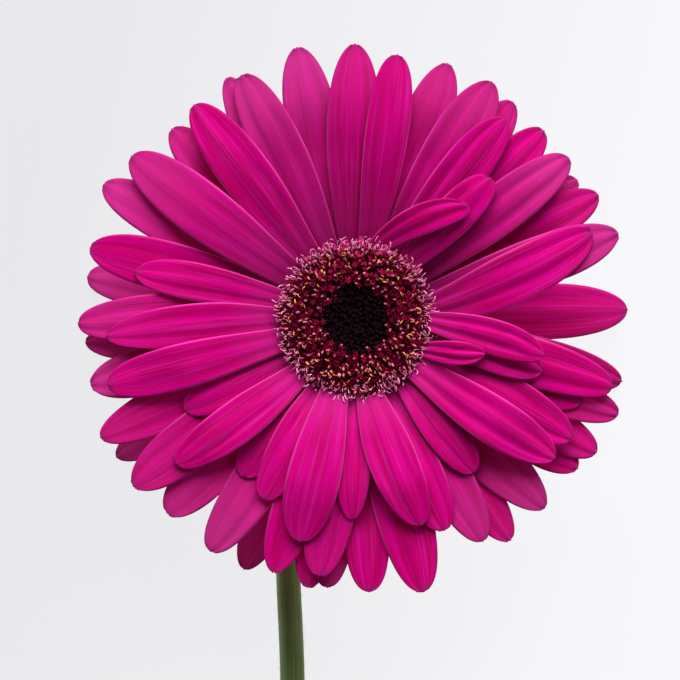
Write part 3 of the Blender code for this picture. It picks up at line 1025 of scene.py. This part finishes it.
# The centre line of the stem's solid about the head, from the cut end up to the cup.
STEM_ROUTE_MM = [
    (-1.0, -454.0, 3.3),
    (-3.5, -400.0, 3.25),
    (-7.0, -330.0, 3.15),
    (-10.5, -250.0, 3.0),
    (-12.6, -170.0, 2.9),
    (-12.9, -110.0, 2.8),
    (-12.6, -76.0, 2.7),
    (-13.4, -54.0, 2.65),
    (-14.0, -38.0, 2.75),
    (-12.4, -24.0, 3.2),
    (-8.0, -13.0, 4.2),
    (-3.2, -5.6, 6.4),
    (-0.6, -1.2, 9.6),
    (0.0, 0.0, 13.0),
]
STEM_STATIONS = 420
STEM_SIDES = 28
STEM_TOP_RADIUS = 2.45 * MM
STEM_CUT_RADIUS = 3.1 * MM
STEM_CUT_SLANT = 0.9


def smooth_curve(points, count):
    """Points evenly spaced along a Catmull-Rom curve through the given ones."""
    ends = [2 * points[0] - points[1], *points, 2 * points[-1] - points[-2]]
    fine = []
    for before, start, end, after in zip(ends, ends[1:], ends[2:], ends[3:]):
        for t in np.linspace(0, 1, 24, endpoint=False):
            bend = (2 * before - 5 * start + 4 * end - after) * t**2
            twist = (3 * start - before - 3 * end + after) * t**3
            fine.append(0.5 * (2 * start + (end - before) * t + bend + twist))
    fine = np.array([*fine, points[-1]])
    along = np.concatenate([[0], np.cumsum(np.linalg.norm(np.diff(fine, axis=0), axis=1))])
    wanted = np.linspace(0, along[-1], count)
    return np.stack([np.interp(wanted, along, fine[:, k]) for k in range(3)], axis=1)


def stem_tube():
    """The ribbed, tapering stem with a slanted cut, and (along, round) as its UV map."""
    route = smooth_curve([np.array(p) * MM for p in STEM_ROUTE_MM], STEM_STATIONS) + np.array(HEAD)
    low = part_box("stem")[0][2]
    points, flat = [], []
    side = Vector((1, 0, 0))
    for i, centre in enumerate(route):
        ahead = Vector(route[min(i + 1, STEM_STATIONS - 1)] - route[max(i - 1, 0)]).normalized()
        side = (side - side.dot(ahead) * ahead).normalized()
        up = side.cross(ahead).normalized()
        if up.z < 0 and i == 0:
            side.negate()
            up = side.cross(ahead)
        share = (i / (STEM_STATIONS - 1)) ** 0.8
        radius = STEM_CUT_RADIUS + (STEM_TOP_RADIUS - STEM_CUT_RADIUS) * share
        for k, turn in enumerate(turns_of(STEM_SIDES)):
            rib = 1 - 0.035 * (0.5 + 0.5 * math.cos(7 * turn))
            spot = Vector(centre) + radius * rib * (math.cos(turn) * side + math.sin(turn) * up)
            if i == 0:
                spot += ahead * (STEM_CUT_SLANT * radius * math.sin(turn))
            spot.z = max(spot.z, low)
            points.append(spot)
            flat.append((i / (STEM_STATIONS - 1), k / STEM_SIDES))
    faces = []
    for i in range(STEM_STATIONS - 1):
        for k in range(STEM_SIDES):
            a = i * STEM_SIDES + k
            b = i * STEM_SIDES + (k + 1) % STEM_SIDES
            faces.append((a, b, b + STEM_SIDES, a + STEM_SIDES))
    faces.append(tuple(range(STEM_SIDES)))
    faces.append(tuple(range(len(points) - STEM_SIDES, len(points))))
    mesh = bpy.data.meshes.new("scape")
    mesh.from_pydata(points, [], faces)
    work = bmesh.new()
    work.from_mesh(mesh)
    bmesh.ops.recalc_face_normals(work, faces=work.faces)
    work.to_mesh(mesh)
    work.free()
    lay_uv(mesh, np.array(flat))
    mesh.shade_smooth()
    return mesh


def hair_tree():
    """Short hairs scattered over a surface, standing up and leaning a little."""
    tree, nodes, given, result = geometry_tree(
        "downy hairs", Object=["Shape"], Int=["Seed"], Float=["Density", "Length"]
    )
    spread = nodes.add(
        "GeometryNodeDistributePointsOnFaces",
        {"Mesh": given["Geometry"], "Density": given["Density"], "Seed": given["Seed"]},
    )
    wobble = nodes.random("FLOAT_VECTOR", (-1, -1, -1), (1, 1, 1), given["Seed"])
    aim = nodes.vector("ADD", spread.outputs["Normal"], nodes.scale(wobble, 0.5))
    aligned = nodes.add("FunctionNodeAlignRotationToVector", {"Vector": aim}, axis="Z").outputs[0]
    settings = {"Points": spread.outputs[0], "Rotation": aligned, "Scale": given["Length"]}
    finish_copies(nodes, given, result, settings)
    return tree


def build_stem():
    """The stem and the hairs on it, none of them under the surface."""
    mesh = stem_tube()
    bare = mesh.copy()
    mesh.materials.append(STEM)
    place(add_object("scape", mesh), "stem", "stem")
    hair = add_object("hair", bent_thread("hair", 0.5, 0.03, sides=3, steps=3, tip=0.2))
    values = {"Shape": hair, "Density": 450000.0, "Length": 0.7 * MM, "Seed": 2, "Material": HAIR}
    hairs = grow("stem_hairs", bare, hair_tree(), **values)
    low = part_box("stem")[0][2]
    for vertex in hairs.data.vertices:
        vertex.co.z = max(vertex.co.z, low)
    place(hairs, "stem")
    bpy.data.objects.remove(hair, do_unlink=True)


# ------------ stage

FLOOR_REACH = 4.0
# The camera looks straight down at VIEW_CENTRE, counted from HEAD, and sees FRAME_WIDTH there.
FRAME_WIDTH = 136 * MM
VIEW_DISTANCE = 1.25
VIEW_CENTRE = Vector((-3.0 * MM, -4.2 * MM, 24 * MM))
SENSOR = 36.0


def lamp(name, spot, size, power):
    """A round area lamp at a spot counted from the head, aimed at it."""
    data = bpy.data.lights.new(name, "AREA")
    data.shape = "DISK"
    data.size = size
    data.energy = power
    thing = add_object(name, data)
    thing.location = HEAD + Vector(spot)
    direction = HEAD - thing.location
    thing.rotation_euler = direction.to_track_quat("-Z", "Y").to_euler()


def build_stage():
    """A surface that glows pale with painted light, brighter towards one side, a soft lamp beyond the
    head, a weak one beside it, and a camera above.
    """
    mesh = bpy.data.meshes.new("surface")
    corners = [(x * FLOOR_REACH, y * FLOOR_REACH, 0) for x, y in ((-1, -1), (1, -1), (1, 1), (-1, 1))]
    mesh.from_pydata(corners, [], [(0, 1, 2, 3)])
    floor = add_object("surface", mesh)
    material, nodes = new_material("pale surface")
    where = nodes.add("ShaderNodeTexCoord").outputs["Object"]
    apart = nodes.add("ShaderNodeSeparateXYZ", {0: where}).outputs
    # The surface's own colour is near black; its pale glow is painted light, brighter towards one
    # side and one end.
    painted_glow_slant = nodes.math("MULTIPLY_ADD", nodes.math("SUBTRACT", apart[1], HEAD.y), -0.3, apart[0])
    glow = nodes.ramp(painted_glow_slant, HEAD.x - 75 * MM, HEAD.x + 60 * MM, 0.87, 1.03)
    skin = nodes.add(
        "ShaderNodeBsdfPrincipled",
        {
            "Base Color": (0.05, 0.05, 0.052, 1),
            "Roughness": 0.8,
            "Specular IOR Level": 0.0,
            "Emission Color": (0.86, 0.86, 0.88, 1),
            "Emission Strength": glow,
        },
    )
    nodes.add("ShaderNodeOutputMaterial", {"Surface": skin.outputs[0]})
    mesh.materials.append(material)

    world = bpy.data.worlds.new("studio")
    world.use_nodes = True
    sky = world.node_tree.nodes["Background"].inputs
    sky["Color"].default_value = (0.93, 0.94, 1.0, 1.0)
    sky["Strength"].default_value = 0.15
    scene = bpy.context.scene
    scene.world = world
    scene.view_settings.view_transform = "Standard"
    scene.view_settings.look = "None"

    lamp("key", spot=(0.05, 1.30, 0.71), size=1.8, power=61)
    lamp("side", spot=(1.4, 0.2, 0.9), size=0.9, power=2)

    camera = bpy.data.cameras.new("camera")
    camera.sensor_width = SENSOR
    camera.lens = SENSOR * VIEW_DISTANCE / FRAME_WIDTH
    camera.clip_start = 0.01
    eye = add_object("camera", camera)
    eye.location = HEAD + VIEW_CENTRE + Vector((0, 0, VIEW_DISTANCE))
    scene.camera = eye


build_stage()
build_rays()
build_disc()
build_involucre()
build_stem()
